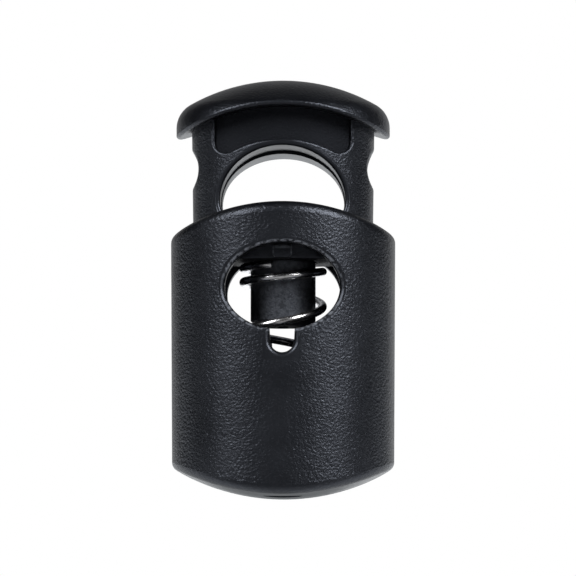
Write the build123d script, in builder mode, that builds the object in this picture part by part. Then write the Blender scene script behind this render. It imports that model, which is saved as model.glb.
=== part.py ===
from build123d import *
import math
import os

# A cord lock: an oval barrel, a press-down plunger with an oval cord window, and one
# compression spring between them. Millimetres, +Z up along the plunger's travel, -Y is the front.
# The origin is the centre of the barrel's cord hole, and the cord runs along Y.

# Driving dimensions
BARREL_WIDTH = 17.05  # across the oval, at the mouth
BARREL_DEPTH = 13.0
BARREL_DRAFT = 0.28  # how much narrower the closed end is, across the oval
BARREL_TOP = 6.4  # highest point of the crowned mouth
BARREL_BOTTOM = -15.56  # lowest point of the crowned closed end
MOUTH_RADIUS = 16.8  # the arc of the mouth, seen from the front
BASE_RADIUS = 17.3  # the same arc at the closed end
MOUTH_ROUND = 0.8
BASE_ROUND = 0.7

HOLE_WIDTH = 8.64  # the barrel's cord hole
HOLE_HEIGHT = 6.56
HOLE_ROUND = 0.38
TRAVEL = 7.0  # from the plunger's rest to fully pressed

STEM_WIDTH = 13.58  # the plunger's stem at its lower end
STEM_DEPTH = 8.92
STEM_DRAFT = 0.32  # how much wider the stem is under its cap
STEM_BOTTOM = 2.18
STEM_GAP = 0.11  # clearance each side between the widest stem and the barrel's cavity

WINDOW_WIDTH = 9.42  # the plunger's cord window, in its front half
WINDOW_UPPER = 4.08  # from its widest line up to its ceiling
WINDOW_CENTRE = 6.66
WINDOW_STEP = 0.25  # how much lower the window's ceiling is in its back half

CAP_WIDTH = 16.2
CAP_DEPTH = 12.4
CAP_TOP = 16.03
CAP_TOP_RADIUS = 14.3
CAP_UNDERSIDE = 13.65
CAP_UNDER_RADIUS = 16.1
CAP_ROUND = 2.0  # where the dome turns down into the cap's edge
CAP_LIP_ROUND = 0.22

WIRE = 0.64
COIL_RADIUS = 3.0  # to the middle of the wire
POST_DIAMETER = 4.93
POST_BOTTOM = -2.7

os.makedirs("parts", exist_ok=True)


def sag(radius, half_chord):
    """How far an arc of this radius falls from its crown at half_chord from the middle."""
    return radius - math.sqrt(radius**2 - half_chord**2)


# The barrel: one moulding, open at its crowned mouth and closed at its crowned base.
cavity_width = STEM_WIDTH + STEM_DRAFT + 2 * STEM_GAP
cavity_depth = STEM_DEPTH + STEM_DRAFT + 2 * STEM_GAP
cavity_ledge = STEM_BOTTOM - TRAVEL - 0.35  # where the plunger's cavity meets the spring's bore
bore_diameter = 7.3
bore_floor = BARREL_BOTTOM + 1.9
slot_top_half = 1.08  # the stop slot under the cord hole
slot_end_half = 0.9
slot_bottom = -4.98
gate_radius = 1.5  # the shallow recess in the closed end, where the moulding was fed
gate_depth = 0.25
reach = BARREL_DEPTH  # half the length of a cutter that passes right through

# The stop slot is a straight-sided notch that drops from the cord hole and ends in a half round.
with BuildPart() as passage:
    with BuildSketch(Plane.XZ):
        with BuildLine():
            slot_turn = slot_bottom + slot_end_half
            left_side = Line((-slot_top_half, 0), (-slot_end_half, slot_turn))
            slot_end = ThreePointArc(left_side @ 1, (0, slot_bottom), (slot_end_half, slot_turn))
            right_side = Line(slot_end @ 1, (slot_top_half, 0))
            Line(right_side @ 1, left_side @ 0)
        make_face()
        Ellipse(HOLE_WIDTH / 2, HOLE_HEIGHT / 2)
    extrude(amount=reach, both=True)

with BuildPart() as barrel:
    with BuildSketch(Plane.XY.offset(BARREL_BOTTOM - 1)):
        Ellipse((BARREL_WIDTH - BARREL_DRAFT) / 2, (BARREL_DEPTH - BARREL_DRAFT) / 2)
    with BuildSketch(Plane.XY.offset(BARREL_TOP + 1)):
        Ellipse(BARREL_WIDTH / 2, BARREL_DEPTH / 2)
    loft()
    with BuildSketch(Plane.XZ):
        with Locations((0, BARREL_TOP - MOUTH_RADIUS)):
            Circle(MOUTH_RADIUS)
        with Locations((0, BARREL_BOTTOM + BASE_RADIUS)):
            Circle(BASE_RADIUS, mode=Mode.INTERSECT)
    extrude(amount=reach, both=True, mode=Mode.INTERSECT)
    fillet(barrel.faces().sort_by(Axis.Z)[-1].edges(), MOUTH_ROUND)
    fillet(barrel.faces().sort_by(Axis.Z)[0].edges(), BASE_ROUND)
    with BuildSketch(Plane.XY.offset(BARREL_BOTTOM - 1)):
        Circle(gate_radius)
    extrude(amount=1 + gate_depth, mode=Mode.SUBTRACT)
    # the plunger's oval cavity, then the round bore for the spring
    with BuildSketch(Plane.XY.offset(cavity_ledge)):
        Ellipse(cavity_width / 2, cavity_depth / 2)
    extrude(amount=BARREL_TOP - cavity_ledge + 1, mode=Mode.SUBTRACT)
    with BuildSketch(Plane.XY.offset(bore_floor)):
        Circle(bore_diameter / 2)
    extrude(amount=cavity_ledge - bore_floor, mode=Mode.SUBTRACT)
    inner_mouth = barrel.faces().sort_by(Axis.Z)[-1].inner_wires().edges()
    fillet(inner_mouth, 0.3)
    # the cord hole and its stop slot, through both walls, with softened outside edges
    add(passage.part, mode=Mode.SUBTRACT)
    hole_edges = barrel.edges().filter_by(Axis.Y, reverse=True)
    hole_edges = hole_edges.filter_by(lambda e: -5.2 < e.center().Z < 3.6)
    outer_rims = hole_edges.filter_by(lambda e: abs(e.center().Y) > 5.3 and abs(e.center().X) < 4.6)
    fillet(outer_rims, HOLE_ROUND)
barrel.part.label = "barrel"
export_step(barrel.part, "parts/barrel.step")

# The plunger: cap, oval stem with its cord window, the crossbar under it and the spring post.
stem_top = CAP_UNDERSIDE + 0.25  # buried in the cap
window_lower = 3.1  # the window is shallower below its widest line than above it
back_half = WINDOW_WIDTH / 2 - 0.07  # the half width of its back half
window_round = 0.24
panel_half = 5.1  # the sunken panels over the window, front and back
panel_depth = 0.6
panel_arc = 8.6
panel_low = 11.21  # the panel's lower edge at mid width
panel_corner = 0.9
panel_round = 0.16
notch_centre = 9.2  # the scallops in the stem's sides
notch_depth = 0.5
notch_radius = 2.4
tooth_width = 1.44  # the teeth that stop the plunger against the cord hole's ceiling
tooth_root = 3.9
tooth_face = STEM_DEPTH / 2 + 0.5
tooth_top = HOLE_HEIGHT / 2 - 0.08
tooth_bottom = 2.24
tooth_corner = 0.35
nub_radius = 0.38
nub_height = 0.1


def on_skin(edge):
    """True for an edge that lies on the stem's oval outside."""
    middle = edge.position_at(0.5)
    return (2 * middle.X / STEM_WIDTH) ** 2 + (2 * middle.Y / STEM_DEPTH) ** 2 > 0.985


# The cap is a turned dome, squeezed front to back, over an arched underside.
with BuildPart() as cap:
    with BuildSketch(Plane.XZ) as cap_profile:
        with Locations((0, CAP_TOP - CAP_TOP_RADIUS)):
            Circle(CAP_TOP_RADIUS)
        with Locations((CAP_WIDTH / 4, CAP_UNDERSIDE)):
            Rectangle(CAP_WIDTH / 2, 8, mode=Mode.INTERSECT)
        fillet(cap_profile.vertices().sort_by(Axis.X)[-2:].sort_by(Axis.Y)[-1], CAP_ROUND)
    revolve(axis=Axis.Z)
    scale(by=(1, CAP_DEPTH / CAP_WIDTH, 1))
    with BuildSketch(Plane.XZ):
        with Locations((0, CAP_UNDERSIDE - CAP_UNDER_RADIUS)):
            Circle(CAP_UNDER_RADIUS)
    extrude(amount=reach, both=True, mode=Mode.SUBTRACT)
    lip_edges = cap.faces().filter_by(GeomType.CYLINDER).sort_by(SortBy.AREA)[-1].edges()
    fillet(lip_edges, CAP_LIP_ROUND)

with BuildPart() as panel:
    with BuildSketch(Plane.XZ) as panel_sketch:
        with BuildLine():
            panel_end = panel_low - sag(panel_arc, panel_half)
            low_edge = ThreePointArc((-panel_half, panel_end), (0, panel_low), (panel_half, panel_end))
            Polyline(low_edge @ 1, (panel_half, stem_top + 1), (-panel_half, stem_top + 1), low_edge @ 0)
        make_face()
        fillet(panel_sketch.vertices().group_by(Axis.Y)[0], panel_corner)
    extrude(amount=reach, both=True)
    with BuildSketch(Plane.XY.offset(7)):
        Ellipse(STEM_WIDTH / 2, (STEM_DEPTH + STEM_DRAFT) / 2 - panel_depth)
    extrude(amount=stem_top, mode=Mode.SUBTRACT)

# The window is cut from both faces; the back half's ceiling sits a little lower.
with BuildPart() as window:
    with BuildSketch(Plane.XZ):
        with BuildLine():
            middle = (0, WINDOW_CENTRE)
            EllipticalCenterArc(middle, WINDOW_WIDTH / 2, WINDOW_UPPER, 0, arc_size=180)
            EllipticalCenterArc(middle, WINDOW_WIDTH / 2, window_lower, 180, arc_size=180)
        make_face()
    extrude(amount=reach)
    with BuildSketch(Plane.XZ):
        with BuildLine():
            EllipticalCenterArc(middle, back_half, WINDOW_UPPER - WINDOW_STEP, 0, arc_size=180)
            EllipticalCenterArc(middle, back_half, window_lower - 0.07, 180, arc_size=180)
        make_face()
    extrude(amount=-reach)

# The stop teeth at the front and the back of the crossbar; their lower corners follow the slot's end.
with BuildPart() as teeth:
    with BuildSketch(Plane.XZ.offset(tooth_root)) as tooth_sketch:
        with Locations((0, (tooth_top + tooth_bottom) / 2)):
            Rectangle(tooth_width, tooth_top - tooth_bottom)
        fillet(tooth_sketch.vertices().group_by(Axis.Y)[0], tooth_corner)
    extrude(amount=tooth_face - tooth_root)
    fillet(teeth.edges().group_by(Axis.Y)[0].sort_by(Axis.Z)[-1], 0.2)
    mirror(about=Plane.XZ)

with BuildPart() as plunger:
    with BuildSketch(Plane.XY.offset(STEM_BOTTOM)):
        Ellipse(STEM_WIDTH / 2, STEM_DEPTH / 2)
    with BuildSketch(Plane.XY.offset(stem_top)):
        Ellipse((STEM_WIDTH + STEM_DRAFT) / 2, (STEM_DEPTH + STEM_DRAFT) / 2)
    loft()
    fillet(plunger.faces().sort_by(Axis.Z)[0].edges(), 0.15)
    # scallops in both sides
    with BuildSketch(Plane.XZ):
        side_x = STEM_WIDTH / 2 + 0.1 - notch_depth + notch_radius
        with Locations((side_x, notch_centre), (-side_x, notch_centre)):
            Circle(notch_radius)
    extrude(amount=reach, both=True, mode=Mode.SUBTRACT)
    fillet(plunger.edges().filter_by(lambda e: 7.0 < e.center().Z < 11.3), 0.5)
    add(panel.part, mode=Mode.SUBTRACT)
    panel_edges = plunger.edges().filter_by(on_skin).filter_by(lambda e: abs(e.position_at(0.5).X) < 5.2)
    panel_rims = panel_edges.filter_by(lambda e: 9.5 < e.position_at(0.5).Z < stem_top - 0.01)
    fillet(panel_rims, panel_round)
    add(window.part, mode=Mode.SUBTRACT)
    window_rims = plunger.edges().filter_by(on_skin).filter_by(lambda e: abs(e.position_at(0.5).X) < 4.75)
    window_rims = window_rims.filter_by(lambda e: e.position_at(0.5).Z > 3.2 and e.length > 5)
    fillet(window_rims, window_round)
    add(teeth.part)
    # the spring post with its chamfered end and gate nub
    with BuildSketch(Plane.XY.offset(POST_BOTTOM)):
        Circle(POST_DIAMETER / 2)
    extrude(amount=STEM_BOTTOM - POST_BOTTOM + 0.4)
    chamfer(plunger.faces().sort_by(Axis.Z)[0].edges(), 0.45)
    with BuildSketch(Plane.XY.offset(POST_BOTTOM - nub_height)):
        Circle(nub_radius)
    extrude(amount=nub_height + 0.2)
    add(cap.part)
plunger.part.label = "plunger"
export_step(plunger.part, "parts/plunger.step")

# The spring: right-handed, with an almost flat turn at each end and even turns between. Its upper
# free turns lean, lower at the front than at the back.
spring_top = STEM_BOTTOM - 0.01 - WIRE / 2  # to the middle of the wire
spring_bottom = bore_floor + 0.01 + WIRE / 2
end_slope = 0.5  # fall per turn along the closed end turns
flat_turns = 0.79
blend_turns = 0.5
body_turns = 3.29
lean = 0.36  # how far a leaning turn's front is below its middle
end_fall = end_slope * flat_turns
start_angle = 254.0  # where the wire's cut end sits, counter-clockwise from +X
body_fall = spring_top - spring_bottom - 2 * end_fall
body_slope = (body_fall - end_slope * blend_turns) / (body_turns + blend_turns)
total_turns = 2 * (flat_turns + blend_turns) + body_turns


def fall(turn):
    """How far the wire has dropped below its upper end after this many turns."""
    if turn > total_turns / 2:
        return spring_top - spring_bottom - fall(total_turns - turn)
    drop = end_slope * min(turn, flat_turns)
    if turn > flat_turns:
        part_way = min(turn - flat_turns, blend_turns)
        drop += end_slope * part_way + (body_slope - end_slope) * part_way**2 / (2 * blend_turns)
    if turn > flat_turns + blend_turns:
        drop += body_slope * (turn - flat_turns - blend_turns)
    return drop


def eased(value, start, end):
    """0 before start, 1 after end, with a smooth rise between them."""
    part_way = min(1.0, max(0.0, (value - start) / (end - start)))
    return part_way**2 * (3 - 2 * part_way)


steps_per_turn = 12
step_count = round(total_turns * steps_per_turn)
wire_points = []
for step in range(step_count + 1):
    turn = total_turns * step / step_count
    angle = math.radians(start_angle - 360 * turn)
    leaning = lean * eased(turn, 0.5, 1.0) * eased(total_turns - turn, 1.2, 3.0)
    height = spring_top - fall(turn) + leaning * math.sin(angle)
    wire_points.append((COIL_RADIUS * math.cos(angle), COIL_RADIUS * math.sin(angle), height))

with BuildPart() as spring:
    with BuildLine() as wire_path:
        Spline(wire_points)
    with BuildSketch(Plane(origin=wire_path.line @ 0, z_dir=wire_path.line % 0)):
        Circle(WIRE / 2)
    sweep(path=wire_path.line)
spring.part.label = "spring"
export_step(spring.part, "parts/spring.step")
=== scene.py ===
import bpy
import math
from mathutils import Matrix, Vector


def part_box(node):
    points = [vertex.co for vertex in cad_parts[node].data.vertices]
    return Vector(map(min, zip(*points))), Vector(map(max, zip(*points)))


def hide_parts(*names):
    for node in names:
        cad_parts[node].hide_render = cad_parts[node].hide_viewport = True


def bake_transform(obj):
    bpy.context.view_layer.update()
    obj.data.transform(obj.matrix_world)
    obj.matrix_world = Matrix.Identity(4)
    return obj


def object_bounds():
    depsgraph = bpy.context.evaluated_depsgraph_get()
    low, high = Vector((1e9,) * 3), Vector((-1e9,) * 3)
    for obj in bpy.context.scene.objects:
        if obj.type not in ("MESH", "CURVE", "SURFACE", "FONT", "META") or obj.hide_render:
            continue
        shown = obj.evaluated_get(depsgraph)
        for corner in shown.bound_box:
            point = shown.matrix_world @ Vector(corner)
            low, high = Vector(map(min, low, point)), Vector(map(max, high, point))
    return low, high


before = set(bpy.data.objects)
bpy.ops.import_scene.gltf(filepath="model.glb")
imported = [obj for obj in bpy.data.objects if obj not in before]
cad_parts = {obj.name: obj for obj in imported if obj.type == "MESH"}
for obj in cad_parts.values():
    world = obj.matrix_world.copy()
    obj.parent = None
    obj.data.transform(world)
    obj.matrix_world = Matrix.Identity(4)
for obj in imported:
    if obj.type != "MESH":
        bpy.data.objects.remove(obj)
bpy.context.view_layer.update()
scene = bpy.context.scene
MM = 0.001

# shapes the materials follow, in mm: half widths and half heights of ovals, and heights
CORD_HOLE = (4.32, 3.28)
CAVITY = (7.25, 4.95)
WINDOW = (4.71, 4.08)
WINDOW_CENTRE = 6.66
SUNKEN_STEM = (6.79, 4.14)
POST_REACH = (2.6, 2.6)
STOP_SLOT_CENTRE = -4.1
CROSSBAR_UNDERSIDE = 2.2

WHITE = (1, 1, 1, 1)
BLACK_TONES = (0.0026, 0.0029, 0.0038, 1), (0.0042, 0.0046, 0.0058, 1)
DUST_TONE = (0.05, 0.052, 0.056, 1)
STEEL_TONES = (0.86, 0.86, 0.88, 1), (0.60, 0.59, 0.59, 1), (0.30, 0.29, 0.29, 1)

# ---------------------------------------------------------------- node helpers


def new_material(name):
    material = bpy.data.materials.new(name)
    material.use_nodes = True
    material.node_tree.nodes.clear()
    return material


class Graph:
    """Short calls for building a shader graph; sockets are passed round as values."""

    def __init__(self, tree):
        self.tree = tree

    def node(self, kind, inputs=None, **settings):
        made = self.tree.nodes.new(kind)
        for key, value in settings.items():
            setattr(made, key, value)
        for key, value in (inputs or {}).items():
            self.feed(made.inputs[key], value)
        return made

    def feed(self, socket, value):
        if isinstance(value, bpy.types.NodeSocket):
            self.tree.links.new(value, socket)
        else:
            socket.default_value = value

    def math(self, operation, a, b=0.0, c=0.0, clamp=False):
        made = self.node("ShaderNodeMath", operation=operation, use_clamp=clamp)
        for socket, value in zip(made.inputs, (a, b, c)):
            self.feed(socket, value)
        return made.outputs[0]

    def step(self, value, low, high):
        """0 below low, 1 above high, eased between; high may be the smaller."""
        made = self.node("ShaderNodeMapRange", interpolation_type="SMOOTHSTEP")
        self.feed(made.inputs["Value"], value)
        made.inputs["From Min"].default_value = min(low, high)
        made.inputs["From Max"].default_value = max(low, high)
        made.inputs["To Min"].default_value = 0.0 if high > low else 1.0
        made.inputs["To Max"].default_value = 1.0 if high > low else 0.0
        return made.outputs[0]

    def mix(self, factor, a, b):
        made = self.node("ShaderNodeMix", data_type="FLOAT")
        self.feed(made.inputs[0], factor)
        self.feed(made.inputs[2], a)
        self.feed(made.inputs[3], b)
        return made.outputs[0]

    def mix_colour(self, factor, a, b):
        made = self.node("ShaderNodeMix", data_type="RGBA")
        self.feed(made.inputs[0], factor)
        self.feed(made.inputs[6], a)
        self.feed(made.inputs[7], b)
        return made.outputs[2]

    def noise(self, vector, scale, detail=2.0, roughness=0.5, distortion=0.0):
        made = self.node("ShaderNodeTexNoise")
        self.feed(made.inputs["Vector"], vector)
        made.inputs["Scale"].default_value = scale
        made.inputs["Detail"].default_value = detail
        made.inputs["Roughness"].default_value = roughness
        made.inputs["Distortion"].default_value = distortion
        return made.outputs["Fac"]

    def position(self):
        """Object coordinates in millimetres, and their three components."""
        texture = self.node("ShaderNodeTexCoord")
        scaled = self.node("ShaderNodeVectorMath", operation="SCALE")
        self.feed(scaled.inputs[0], texture.outputs["Object"])
        scaled.inputs["Scale"].default_value = 1000.0
        parts = self.node("ShaderNodeSeparateXYZ", {0: scaled.outputs[0]})
        return scaled.outputs[0], parts.outputs[0], parts.outputs[1], parts.outputs[2]

    def ellipse(self, a, b, half_a, half_b):
        """1 on the ellipse, less inside it."""
        first = self.math("POWER", self.math("DIVIDE", a, half_a), 2.0)
        second = self.math("POWER", self.math("DIVIDE", b, half_b), 2.0)
        return self.math("SQRT", self.math("ADD", first, second))


# ---------------------------------------------------------------- materials


def moulded_plastic(name, grain_size, grain_depth, smooth_mask, wear_and_highlight_mask, wear_and_highlight_tone, matt_mask):
    """Black moulded plastic with a leathery grain.

    grain_size and grain_depth are in mm. smooth_mask 1 takes the grain out, wear_and_highlight_mask 1 is
    lightened to wear_and_highlight_tone for scuffs and for painted highlights on edges, and matt_mask 1
    is dull.
    """
    material = new_material(name)
    g = Graph(material.node_tree)
    place, x, y, z = g.position()
    rough_area = g.math("SUBTRACT", 1.0, smooth_mask(g, x, y, z))
    wear_and_highlight = wear_and_highlight_mask(g, place, x, y, z)
    matt = matt_mask(g, x, y, z)

    # wrinkled lands that are wider than they are tall, with creases between them
    laid = g.node("ShaderNodeVectorMath", {0: place, 1: (0.84, 0.84, 1.0)}, operation="MULTIPLY")
    laid = laid.outputs[0]
    warp = g.node("ShaderNodeTexNoise", {"Vector": laid, "Scale": 0.9 / grain_size, "Detail": 2.0})
    shift = g.node("ShaderNodeVectorMath", operation="MULTIPLY_ADD")
    g.feed(shift.inputs[0], warp.outputs["Color"])
    shift.inputs[1].default_value = (0.8 * grain_size,) * 3
    g.feed(shift.inputs[2], laid)
    lands = g.node(
        "ShaderNodeTexVoronoi",
        {"Vector": shift.outputs[0], "Scale": 1.0 / grain_size, "Smoothness": 0.5},
        feature="SMOOTH_F1",
    ).outputs["Distance"]
    ripples = g.noise(shift.outputs[0], 1.1 / grain_size, 2.0, 0.55)
    pits = g.noise(place, 2.6 / grain_size, 1.0, 0.5)
    height = g.math("MULTIPLY_ADD", lands, -0.65, ripples)
    height = g.math("MULTIPLY_ADD", pits, 0.26, height)
    height = g.math("MULTIPLY", height, g.math("MULTIPLY_ADD", rough_area, 0.92, 0.08))
    grain = g.node("ShaderNodeBump", {"Height": height, "Strength": 1.0, "Distance": grain_depth * MM})

    # slow unevenness of a moulded wall
    waves = g.noise(place, 0.16, 1.0, 0.4)
    wall = g.node("ShaderNodeBump", {"Height": waves, "Strength": 1.0, "Distance": 0.05 * MM})
    g.feed(wall.inputs["Normal"], grain.outputs[0])

    bloom = g.noise(place, 0.35, 3.0, 0.6)
    tone = g.mix_colour(g.step(bloom, 0.35, 0.7), *BLACK_TONES)
    dust = g.step(g.noise(place, 9.0, 1.0, 0.5), 0.70, 0.78)
    tone = g.mix_colour(g.math("MULTIPLY", dust, 0.25), tone, DUST_TONE)
    # lighter tone: painted highlights on edges, scuffs on the post
    tone = g.mix_colour(wear_and_highlight, tone, (wear_and_highlight_tone, wear_and_highlight_tone * 1.07, wear_and_highlight_tone * 1.22, 1))
    spread = g.math("MULTIPLY_ADD", g.math("SUBTRACT", bloom, 0.5), 0.12, 0.345)
    spread = g.math("MULTIPLY_ADD", g.math("MAXIMUM", wear_and_highlight, matt), 0.3, spread)
    shader = g.node(
        "ShaderNodeBsdfPrincipled",
        {
            "Base Color": tone,
            "Roughness": spread,
            "IOR": 1.5,
            "Specular IOR Level": g.mix(matt, 0.5, 0.16),
            "Specular Tint": (0.88, 0.95, 1.12, 1),
            "Normal": wall.outputs[0],
        },
    )
    g.node("ShaderNodeOutputMaterial", {"Surface": shader.outputs[0]})
    return material


def barrel_smooth(g, x, y, z):
    """The rims of the cord hole and its stop slot, and everything inside the barrel."""
    hole = g.step(g.ellipse(x, z, *CORD_HOLE), 1.11, 1.05)
    beside_slot = g.step(g.math("ABSOLUTE", x), 1.5, 1.2)
    from_slot = g.math("ABSOLUTE", g.math("SUBTRACT", z, STOP_SLOT_CENTRE))
    slot = g.math("MULTIPLY", beside_slot, g.step(from_slot, 1.6, 1.3))
    inside = g.step(g.ellipse(x, y, *CAVITY), 1.02, 0.98)
    return g.math("MAXIMUM", inside, g.math("MAXIMUM", hole, slot), clamp=True)


def plunger_smooth(g, x, y, z):
    """The rim and the inside of the plunger's window."""
    window = g.step(g.ellipse(x, g.math("SUBTRACT", z, WINDOW_CENTRE), *WINDOW), 1.12, 1.05)
    return g.math("MULTIPLY", window, g.step(z, 2.6, 3.2), clamp=True)


def rim_highlight(g, place, x, y, z):
    """A painted highlight along the outer edge of the cord hole, broken into specks."""
    ratio = g.ellipse(x, z, *CORD_HOLE)
    ring = g.math("MULTIPLY", g.step(ratio, 1.0, 1.03), g.step(ratio, 1.085, 1.05))
    specks = g.step(g.noise(place, 3.2, 2.0, 0.6), 0.36, 0.62)
    outside = g.step(g.math("ABSOLUTE", y), 5.2, 5.5)
    return g.math("MULTIPLY", g.math("MULTIPLY", ring, specks), outside, clamp=True)


def plunger_wear_and_highlight(g, place, x, y, z):
    """The post, scuffed by the wire, and a painted highlight along the edges of the stop teeth."""
    inside = g.step(g.ellipse(x, y, *POST_REACH), 1.0, 0.97)
    mottle = g.math("MULTIPLY_ADD", g.step(g.noise(place, 3.4, 3.0, 0.7), 0.36, 0.66), 0.7, 0.3)
    below = g.step(z, CROSSBAR_UNDERSIDE, CROSSBAR_UNDERSIDE - 0.2)
    post = g.math("MULTIPLY", g.math("MULTIPLY", inside, mottle), below)
    # painted highlight along the side and top edges of the stop teeth
    across = g.math("ABSOLUTE", x)
    edge = g.math("MAXIMUM", g.step(across, 0.60, 0.66), g.step(z, 2.86, 2.96))
    edge = g.math("MULTIPLY", edge, g.step(across, 0.80, 0.76))
    edge = g.math("MULTIPLY", edge, g.step(g.noise(place, 4.0, 1.0, 0.5), 0.3, 0.6))
    tooth = g.math("MULTIPLY", g.step(g.math("ABSOLUTE", y), 4.5, 4.6), g.step(z, 3.25, 3.2))
    return g.math("MAXIMUM", post, g.math("MULTIPLY", edge, tooth), clamp=True)


def no_core_faces(g, x, y, z):
    """The barrel shows no dull faces."""
    return 0.0


def core_faces(g, x, y, z):
    """The faces left by the mould's cores, duller than the outside."""
    normal = g.node("ShaderNodeNewGeometry").outputs["Normal"]
    facing = g.node("ShaderNodeSeparateXYZ", {0: normal}).outputs[2]
    # faint on the window's ceiling, full on the crossbar's underside
    ceiling = g.math("MULTIPLY", g.step(z, 5.0, 6.0), g.step(z, 11.0, 10.85))
    downward = g.math("MAXIMUM", g.math("MULTIPLY", ceiling, 0.12), g.step(z, 2.5, 2.4))
    downward = g.math("MULTIPLY", downward, g.step(facing, -0.75, -0.97))
    # the sunken panels over the window
    sunken = g.step(g.ellipse(x, y, *SUNKEN_STEM), 1.0, 0.985)
    panel = g.math("MULTIPLY", sunken, g.step(z, 9.6, 10.0))
    panel = g.math("MULTIPLY", panel, g.step(g.math("ABSOLUTE", facing), 0.5, 0.3))
    return g.math("MAXIMUM", downward, panel, clamp=True)


def drawn_steel(name):
    """Bright drawn spring wire: fine lines along its length, oil stains and slightly browned patches."""
    material = new_material(name)
    g = Graph(material.node_tree)
    uv = g.node("ShaderNodeUVMap", uv_map="wire")
    stretched = g.node("ShaderNodeVectorMath", operation="MULTIPLY")
    g.feed(stretched.inputs[0], uv.outputs[0])
    stretched.inputs[1].default_value = (0.35, 14.0, 0.0)
    lines = g.noise(stretched.outputs[0], 4.0, 3.0, 0.6)
    stain = g.noise(g.position()[0], 1.4, 3.0, 0.6)
    bright, stained, scored = STEEL_TONES
    tone = g.mix_colour(g.step(stain, 0.45, 0.75), bright, stained)
    tone = g.mix_colour(g.step(lines, 0.62, 0.75), tone, scored)
    rough = g.math("MULTIPLY_ADD", lines, 0.18, 0.16)
    bump = g.node("ShaderNodeBump", {"Height": lines, "Strength": 1.0, "Distance": 0.004 * MM})
    shader = g.node(
        "ShaderNodeBsdfPrincipled",
        {"Base Color": tone, "Metallic": 1.0, "Roughness": rough, "Normal": bump.outputs[0]},
    )
    g.node("ShaderNodeOutputMaterial", {"Surface": shader.outputs[0]})
    return material


def give(node, material):
    """Put one material on the whole of a CAD node."""
    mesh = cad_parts[node].data
    for index in range(len(mesh.materials)):
        mesh.materials[index] = material
    if not mesh.materials:
        mesh.materials.append(material)


give(
    "barrel",
    moulded_plastic("barrel_plastic", 0.19, 0.027, barrel_smooth, rim_highlight, 0.11, no_core_faces),
)
give(
    "plunger",
    moulded_plastic("plunger_plastic", 0.16, 0.027, plunger_smooth, plunger_wear_and_highlight, 0.045, core_faces),
)

# ---------------------------------------------------------------- the spring

# the same wire path as the CAD spring's, in mm and turns from the upper end
WIRE = 0.32  # the wire's radius
COIL = 3.0  # to the middle of the wire
FLAT_TURNS, EASE_TURNS, BODY_TURNS = 0.79, 0.5, 3.29
END_SLOPE = 0.5  # fall per turn along the closed end turns
LEAN = 0.36  # how far a leaning turn's front is below its middle
START = math.radians(254)
TURNS = 2 * (FLAT_TURNS + EASE_TURNS) + BODY_TURNS
spring_low, spring_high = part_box("spring")
TOP = spring_high.z / MM - WIRE
BOTTOM = spring_low.z / MM + WIRE
END_FALL = 2 * END_SLOPE * FLAT_TURNS + END_SLOPE * EASE_TURNS
BODY_SLOPE = (TOP - BOTTOM - END_FALL) / (BODY_TURNS + EASE_TURNS)
AROUND, PER_TURN = 20, 72  # points in each ring round the wire, and rings in each turn
ROUNDED = 0.86  # the wire's width at the very end, as a share of its own


def drop(turn):
    """How far the wire has fallen below its upper end after this many turns."""
    if turn > TURNS / 2:
        return TOP - BOTTOM - drop(TURNS - turn)
    fallen = END_SLOPE * min(turn, FLAT_TURNS)
    if turn > FLAT_TURNS:
        part = min(turn - FLAT_TURNS, EASE_TURNS)
        fallen += END_SLOPE * part + (BODY_SLOPE - END_SLOPE) * part**2 / (2 * EASE_TURNS)
    if turn > FLAT_TURNS + EASE_TURNS:
        fallen += BODY_SLOPE * (turn - FLAT_TURNS - EASE_TURNS)
    return fallen


def eased(value, start, end):
    """0 before start, 1 after end, with a smooth rise between them."""
    part = min(1.0, max(0.0, (value - start) / (end - start)))
    return part**2 * (3 - 2 * part)


def centre(turn):
    """The middle of the wire after this many turns."""
    angle = START - 2 * math.pi * turn
    leaning = LEAN * eased(turn, 0.5, 1.0) * eased(TURNS - turn, 1.2, 3.0)
    height = TOP - drop(turn) + leaning * math.sin(angle)
    return Vector((COIL * math.cos(angle), COIL * math.sin(angle), height))


def coil_share(turn):
    """0 on the lower closed turns, 1 on the upper ones, by height in between."""
    upper, lower = drop(0.95), drop(TURNS - 0.95)
    return 1 - min(1.0, max(0.0, (drop(turn) - upper) / (lower - upper)))


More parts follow.
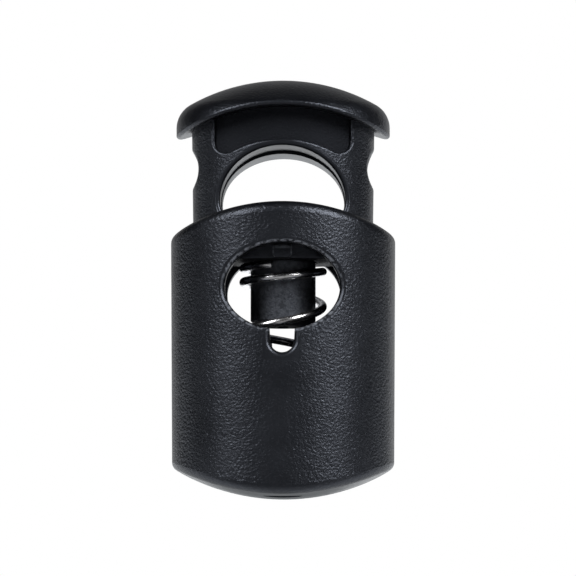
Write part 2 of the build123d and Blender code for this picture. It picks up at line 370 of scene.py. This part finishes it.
def build_spring():
    """The wire as one tube of rings, with the blend share of each of its points."""
    count = round(TURNS * PER_TURN)
    verts, shares, faces, uvs = [], [], [], []
    length = 0.0
    last = centre(0.0)
    rings = []
    for i in range(count + 1):
        turn = TURNS * i / count
        here = centre(turn)
        length += (here - last).length
        last = here
        rings.append((turn, length, 1.0))
    # the cut ends are closed and their edges taken off
    rings.insert(0, (0.0, 0.0, ROUNDED))
    rings.insert(0, (0.0, 0.0, 0.0))
    rings.append((TURNS, length, ROUNDED))
    rings.append((TURNS, length, 0.0))
    for ring, (turn, run, width) in enumerate(rings):
        here = centre(turn)
        ahead = (centre(turn + 0.002) - centre(turn - 0.002)).normalized()
        out = Vector((here.x, here.y, 0)).normalized()
        up = ahead.cross(out).normalized()
        out = up.cross(ahead).normalized()
        if ring in (0, 1) or ring >= len(rings) - 2:
            sign = -1 if ring < 2 else 1
            here = here + ahead * sign * 0.05
        for k in range(AROUND):
            a = 2 * math.pi * k / AROUND
            verts.append((here + (out * math.cos(a) + up * math.sin(a)) * WIRE * width) * MM)
            shares.append(coil_share(turn))
            uvs.append((run, k / AROUND))
    for ring in range(len(rings) - 1):
        for k in range(AROUND):
            a = ring * AROUND + k
            b = ring * AROUND + (k + 1) % AROUND
            faces.append((a, a + AROUND, b + AROUND, b))
    mesh = bpy.data.meshes.new("spring_wire")
    mesh.from_pydata(verts, [], faces)
    layer = mesh.uv_layers.new(name="wire")
    for polygon in mesh.polygons:
        across = [uvs[v][1] for v in polygon.vertices]
        wraps = max(across) > 0.9 and min(across) < 0.1
        for loop in polygon.loop_indices:
            u, v = uvs[mesh.loops[loop].vertex_index]
            layer.data[loop].uv = (u, v + 1.0 if wraps and v < 0.1 else v)
        polygon.use_smooth = True
    mesh.update()
    wire = bpy.data.objects.new("spring_wire", mesh)
    scene.collection.objects.link(wire)
    mesh.materials.append(drawn_steel("spring_steel"))
    return wire, shares


wire, shares = build_spring()
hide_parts("spring")
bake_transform(wire)

# ---------------------------------------------------------------- floor, light and camera

floor_mesh = bpy.data.meshes.new("floor")
HALF = 1.6  # half the floor's side, in metres
floor_mesh.from_pydata(
    [(-HALF, -HALF, 0), (HALF, -HALF, 0), (HALF, HALF, 0), (-HALF, HALF, 0)], [], [(0, 1, 2, 3)]
)
floor = bpy.data.objects.new("floor", floor_mesh)
floor.location = (0, 0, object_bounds()[0].z - 0.02 * MM)
scene.collection.objects.link(floor)
floor_material = new_material("floor")
g = Graph(floor_material.node_tree)
rays = g.node("ShaderNodeLightPath")
mirrored = rays.outputs["Is Glossy Ray"]
_, x, y, _ = g.position()
# painted reflection: seen only in mirrored rays, the table glows behind the object, where its lower edge
# mirrors it, and has painted shade before it
near_glow_level = g.math("MULTIPLY", g.step(y, -6.4, -5.6), 0.42)
painted_glow_level = g.math("MULTIPLY_ADD", g.step(y, 0.0, 12.0), 0.35, near_glow_level)
# painted shade on the table before the object, seen only in reflections
shade = g.math("MULTIPLY", mirrored, g.step(y, -6.0, -7.5))
pale = g.mix_colour(shade, (0.86, 0.86, 0.86, 1), (0.28, 0.28, 0.28, 1))
matt = g.node("ShaderNodeBsdfDiffuse", {"Color": pale})
# the painted glow, seen only in reflections
strength = g.math("MULTIPLY", mirrored, painted_glow_level)
glow = g.node("ShaderNodeEmission", {"Color": (0.93, 0.97, 1, 1), "Strength": strength})
lit = g.node("ShaderNodeAddShader", {0: matt.outputs[0], 1: glow.outputs[0]})
# far from the object the floor fades into the backdrop for the camera
far = g.node("ShaderNodeEmission", {"Color": WHITE, "Strength": 1.0})
distance = g.ellipse(x, y, 1.0, 1.0)
fade = g.math("MULTIPLY", rays.outputs["Is Camera Ray"], g.step(distance, 45.0, 260.0))
lit = g.node("ShaderNodeMixShader", {0: fade, 1: lit.outputs[0], 2: far.outputs[0]})
# from beneath it is clear, because the camera looks up from below its level
clear = g.node("ShaderNodeBsdfTransparent")
beneath = g.node("ShaderNodeNewGeometry").outputs["Backfacing"]
surface = g.node("ShaderNodeMixShader", {0: beneath, 1: lit.outputs[0], 2: clear.outputs[0]})
g.node("ShaderNodeOutputMaterial", {"Surface": surface.outputs[0]})
floor_mesh.materials.append(floor_material)

# the backdrop is white to the camera; the object is lit only by the part of it behind the object
world = bpy.data.worlds.new("studio")
scene.world = world
world.use_nodes = True
world.node_tree.nodes.clear()
g = Graph(world.node_tree)
direction = g.node("ShaderNodeTexCoord").outputs["Generated"]
sideways, backward, upward = g.node("ShaderNodeSeparateXYZ", {0: direction}).outputs
behind = g.step(backward, 0.55, 0.86)
level = g.math("MULTIPLY", behind, g.mix(g.step(sideways, 0.2, 0.7), 0.5, 0.95))
level = g.math("MULTIPLY", level, g.mix(g.step(upward, 0.1, 0.45), 1.0, 0.68))
seen = g.node("ShaderNodeLightPath").outputs["Is Camera Ray"]
level = g.mix(seen, level, 1.0)
backdrop = g.node("ShaderNodeBackground", {"Color": WHITE, "Strength": level})
g.node("ShaderNodeOutputWorld", {"Surface": backdrop.outputs[0]})


def softbox(name, azimuth, elevation, across, tall, radiance):
    """A rectangular light 0.5 m away that fills across by tall degrees, aimed at the object."""
    distance = 0.5
    light = bpy.data.lights.new(name, "AREA")
    light.shape = "RECTANGLE"
    light.size = 2 * distance * math.tan(math.radians(across / 2))
    light.size_y = 2 * distance * math.tan(math.radians(tall / 2))
    light.energy = radiance * math.pi * light.size * light.size_y
    lamp = bpy.data.objects.new(name, light)
    a, e = math.radians(azimuth), math.radians(elevation)
    away = Vector((math.sin(a) * math.cos(e), -math.cos(a) * math.cos(e), math.sin(e)))
    lamp.location = away * distance
    lamp.rotation_mode = "QUATERNION"
    lamp.rotation_quaternion = away.to_track_quat("Z", "Y")
    scene.collection.objects.link(lamp)


softbox("softbox_left", -46, 31, 19, 32, 12.0)
softbox("softbox_right", 43.5, 31, 24, 32, 13.4)

camera_data = bpy.data.cameras.new("camera")
camera = bpy.data.objects.new("camera", camera_data)
scene.collection.objects.link(camera)
scene.camera = camera
DISTANCE = 0.45
FIELD = 43.67232 * MM  # what the picture spans at the object
camera_data.lens = camera_data.sensor_width * DISTANCE / FIELD
camera_data.clip_start, camera_data.clip_end = 0.01, 20
yaw, rise = math.radians(0.7), math.radians(-4.2)
back = Vector((math.sin(yaw) * math.cos(rise), -math.cos(yaw) * math.cos(rise), math.sin(rise)))
camera.rotation_mode = "QUATERNION"
camera.rotation_quaternion = back.to_track_quat("Z", "Y")
camera.location = back * DISTANCE + Vector((0.00037, 0, 0.00027))
scene.view_settings.view_transform = "Standard"
